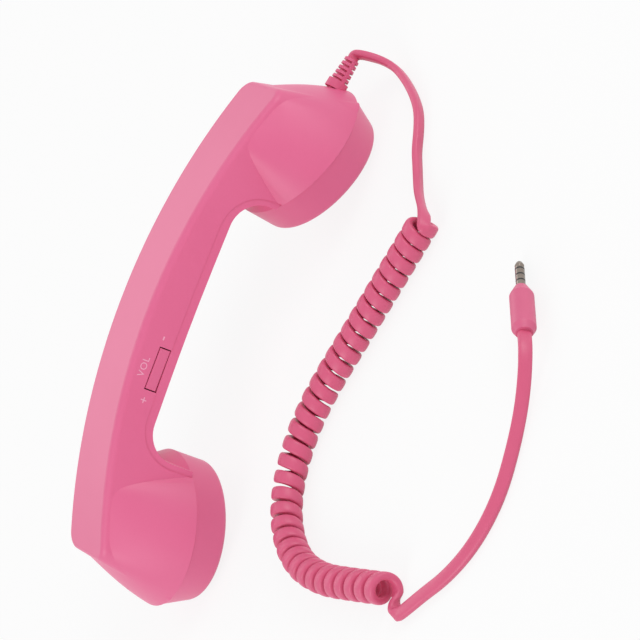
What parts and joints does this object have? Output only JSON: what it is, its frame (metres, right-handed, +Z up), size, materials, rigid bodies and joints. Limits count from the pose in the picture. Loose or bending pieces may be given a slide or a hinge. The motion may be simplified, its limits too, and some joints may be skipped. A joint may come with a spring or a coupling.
{
  "type": "retro plug-in telephone handset",
  "caption": "Retro telephone-receiver handset that plugs into a phone: arched grip between two round cups, side volume rocker, curly cord and jack plug.",
  "frame": {"origin": "middle of the handset, without its cord, on the surface that its two cups stand on", "axes": "+X along the grip towards the mouthpiece and its cord, +Z up out of the spine, the volume rocker faces -Y"},
  "size_m": [0.2309, 0.2288, 0.0646],
  "materials": {
    "pink_shell": "fine matt soft-touch moulding",
    "pink_cord": "satin flexible sheath",
    "felt": "thin acoustic felt",
    "black_rubber": "matt",
    "speaker_frame": "stamped, black",
    "speaker_paper": "pressed paper pulp",
    "steel": "plain steel",
    "capsule_can": "drawn can",
    "board": "solder-masked laminate",
    "black_plastic": "moulded",
    "nickel": "nickel plated"
  },
  "bodies": {
    "handset": {"back_shell": "pink_shell", "front_shell": "pink_shell", "earpiece_cover": "pink_shell", "mouthpiece_cover": "pink_shell", "earpiece_felt": "felt", "mouthpiece_felt": "felt", "speaker_gasket": "black_rubber", "speaker_basket": "speaker_frame", "speaker_cone": "speaker_paper", "speaker_magnet": "steel", "microphone_boot": "black_rubber", "microphone_capsule": "capsule_can", "control_board": "board", "rocker_bracket": "black_plastic", "rocker_pin": "steel", "switch_down": "black_plastic", "switch_up": "black_plastic", "ballast_bar": "steel", "case_screw_1": "steel", "case_screw_2": "steel", "strain_relief": "pink_cord", "cord_lead": "pink_cord", "curly_cord": "pink_cord", "cord_tail": "pink_cord", "plug_grip": "pink_cord", "plug_insulator": "black_plastic", "plug_sleeve": "nickel", "plug_ring_1": "nickel", "plug_ring_2": "nickel", "plug_tip": "nickel"},
    "rocker": {"volume_rocker": "pink_shell"}
  },
  "joints": [
    {"name": "volume_rock", "type": "hinge", "parent": "handset", "child": "rocker", "pos_m": [-0.0195, -0.01165, 0.05242], "axis": [0, 0.1289, 0.9917], "range_deg": [-3.5, 3.5], "stiffness_Nm_per_rad": 0.15}
  ]
}
